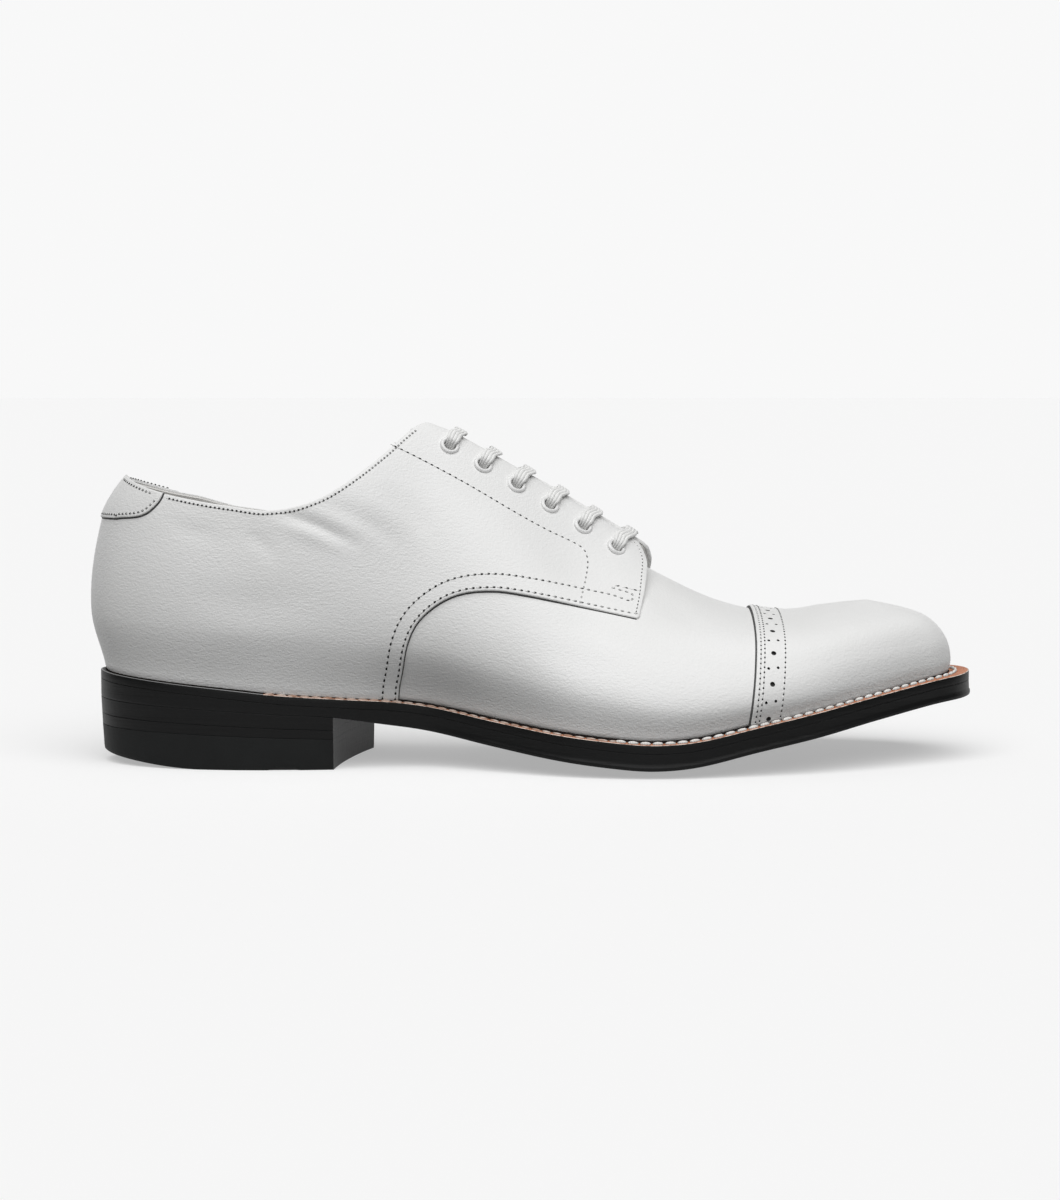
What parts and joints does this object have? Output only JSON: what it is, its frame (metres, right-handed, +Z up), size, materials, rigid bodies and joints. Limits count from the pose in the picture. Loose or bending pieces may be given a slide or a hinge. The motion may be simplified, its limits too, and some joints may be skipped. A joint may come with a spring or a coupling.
{
  "type": "cap toe oxford shoe",
  "caption": "White kid leather dress shoe, right foot: straight perforated toe cap, open laced quarters, welted leather sole and stacked heel.",
  "frame": {"origin": "on the floor, under the middle of the shoe's overall length and width", "axes": "+X to the toe, +Y to the inner (medial) side, +Z up, standing on the heel and the forefoot"},
  "size_m": [0.307, 0.107, 0.115],
  "materials": {
    "white_kid": "smooth kid with a fine grain and a low sheen",
    "lining": "plain lining leather",
    "white_enamel": "enamelled eyelets",
    "white_cotton": "ribbed flat lace",
    "tan_welt": "natural tan, unpolished",
    "black_sole_leather": "inked and burnished edge",
    "black_rubber": "satin rubber"
  },
  "bodies": {
    "root": {"outsole": "black_sole_leather", "welt": "tan_welt", "heel_rand": "black_sole_leather", "heel_lift_1": "black_sole_leather", "heel_lift_2": "black_sole_leather", "heel_top_piece": "black_rubber", "insole": "lining", "upper": "white_kid", "toe_cap": "white_kid", "back_tab": "white_kid", "tongue": "white_kid", "eyelet_lateral_1": "white_enamel", "eyelet_lateral_2": "white_enamel", "eyelet_lateral_3": "white_enamel", "eyelet_lateral_4": "white_enamel", "eyelet_lateral_5": "white_enamel", "eyelet_lateral_6": "white_enamel", "eyelet_medial_1": "white_enamel", "eyelet_medial_2": "white_enamel", "eyelet_medial_3": "white_enamel", "eyelet_medial_4": "white_enamel", "eyelet_medial_5": "white_enamel", "eyelet_medial_6": "white_enamel", "lace": "white_cotton"}
  },
  "joints": []
}
